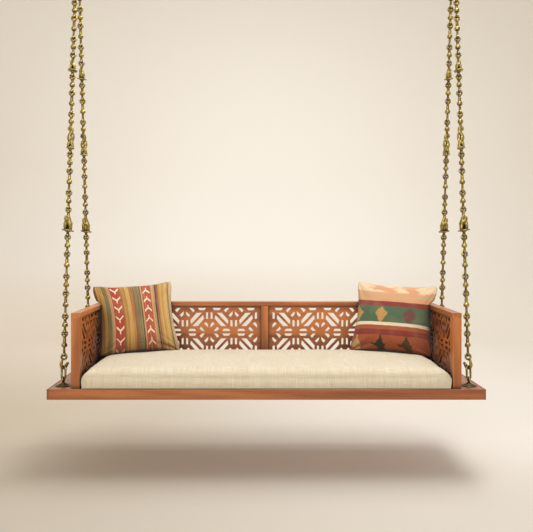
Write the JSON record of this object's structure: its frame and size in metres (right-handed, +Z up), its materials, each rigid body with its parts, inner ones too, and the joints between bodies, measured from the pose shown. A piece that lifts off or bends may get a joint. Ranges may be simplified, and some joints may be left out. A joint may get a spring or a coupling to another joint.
{
  "type": "porch swing seat",
  "caption": "Hanging porch swing seat: hardwood platform, pierced lattice arms and back, brass figure chains on ceiling hangers, seat cushion and two corner pillows.",
  "frame": {"origin": "middle of the platform's underside, which is the lowest face of the swing as it hangs", "axes": "+Z up towards the ceiling, -Y out of the open front of the seat, +X to the viewer's right when facing the seat from the front"},
  "size_m": [1.852, 0.61, 2.2433],
  "materials": {
    "platform_wood": "satin",
    "edge_wood": "satin",
    "frame_wood": "satin",
    "lattice_wood": "satin",
    "dowel_wood": "matte",
    "steel": "satin",
    "dark_brass": "satin",
    "aged_brass": "satin",
    "cushion_linen": "matte",
    "striped_weave": "matte",
    "banded_weave": "matte"
  },
  "bodies": {
    "ceiling": {"ceiling_plates": "dark_brass", "axle_pins": "steel"},
    "hangers": {"hangers": "dark_brass"},
    "left_chains": {"left_oval_links": "dark_brass", "left_hooks": "aged_brass", "left_front_rings": "aged_brass", "left_front_ball_links": "aged_brass", "left_front_figures": "aged_brass", "left_rear_rings": "aged_brass", "left_rear_ball_links": "aged_brass", "left_rear_figures": "aged_brass", "left_top_ring": "aged_brass"},
    "right_chains": {"right_oval_links": "dark_brass", "right_hooks": "aged_brass", "right_front_rings": "aged_brass", "right_front_ball_links": "aged_brass", "right_front_figures": "aged_brass", "right_rear_rings": "aged_brass", "right_rear_ball_links": "aged_brass", "right_rear_figures": "aged_brass", "right_top_ring": "aged_brass"},
    "seat": {"front_rail": "platform_wood", "rear_rail": "platform_wood", "left_end_rail": "platform_wood", "right_end_rail": "platform_wood", "deck_board_1": "platform_wood", "deck_board_2": "platform_wood", "deck_board_3": "platform_wood", "deck_board_4": "platform_wood", "left_lipping": "edge_wood", "right_lipping": "edge_wood", "left_bearer": "edge_wood", "centre_bearer": "edge_wood", "right_bearer": "edge_wood", "left_front_post": "frame_wood", "right_front_post": "frame_wood", "left_corner_post": "frame_wood", "right_corner_post": "frame_wood", "left_arm_top_rail": "frame_wood", "right_arm_top_rail": "frame_wood", "left_arm_bottom_rail": "frame_wood", "right_arm_bottom_rail": "frame_wood", "back_top_rail": "frame_wood", "back_bottom_rail": "frame_wood", "back_centre_post": "frame_wood", "left_arm_lattice": "lattice_wood", "right_arm_lattice": "lattice_wood", "back_left_lattice": "lattice_wood", "back_right_lattice": "lattice_wood", "frame_screws": "steel", "deck_screws": "steel", "dowels": "dowel_wood", "eye_plates": "dark_brass", "eye_plate_screws": "aged_brass", "eye_bolts": "aged_brass", "eye_washers": "steel", "eye_nuts": "steel"},
    "cushion": {"seat_cushion": "cushion_linen"},
    "left_pillow": {"left_pillow": "striped_weave"},
    "right_pillow": {"right_pillow": "banded_weave"}
  },
  "joints": [
    {"name": "swing", "type": "hinge", "parent": "ceiling", "child": "hangers", "pos_m": [0, 0, 2.20134], "axis": [1, 0, 0], "range_deg": [-28, 28]},
    {"name": "left_sway", "type": "hinge", "parent": "hangers", "child": "left_chains", "pos_m": [-0.866, 0, 2.16764], "axis": [0, 1, 0], "range_deg": [-4, 4]},
    {"name": "right_sway", "type": "hinge", "parent": "hangers", "child": "right_chains", "pos_m": [0.866, 0, 2.16764], "axis": [0, 1, 0], "range_deg": [-4.2, 4.2]},
    {"name": "seat_level", "type": "hinge", "parent": "left_chains", "child": "seat", "pos_m": [-0.866, 0, 0.0795], "axis": [0, 1, 0], "range_deg": [-4.2, 4.2]},
    {"name": "cushion_lift", "type": "slide", "parent": "seat", "child": "cushion", "axis": [0, 0, 1], "range_m": [0, 0.12]},
    {"name": "left_pillow_lift", "type": "slide", "parent": "cushion", "child": "left_pillow", "axis": [0, 0, 1], "range_m": [0, 0.25]},
    {"name": "right_pillow_lift", "type": "slide", "parent": "cushion", "child": "right_pillow", "axis": [0, 0, 1], "range_m": [0, 0.25]}
  ],
  "couplings": [
    {"joint": "right_sway", "follows": "left_sway", "ratio": 1},
    {"joint": "seat_level", "follows": "left_sway", "ratio": -1}
  ]
}
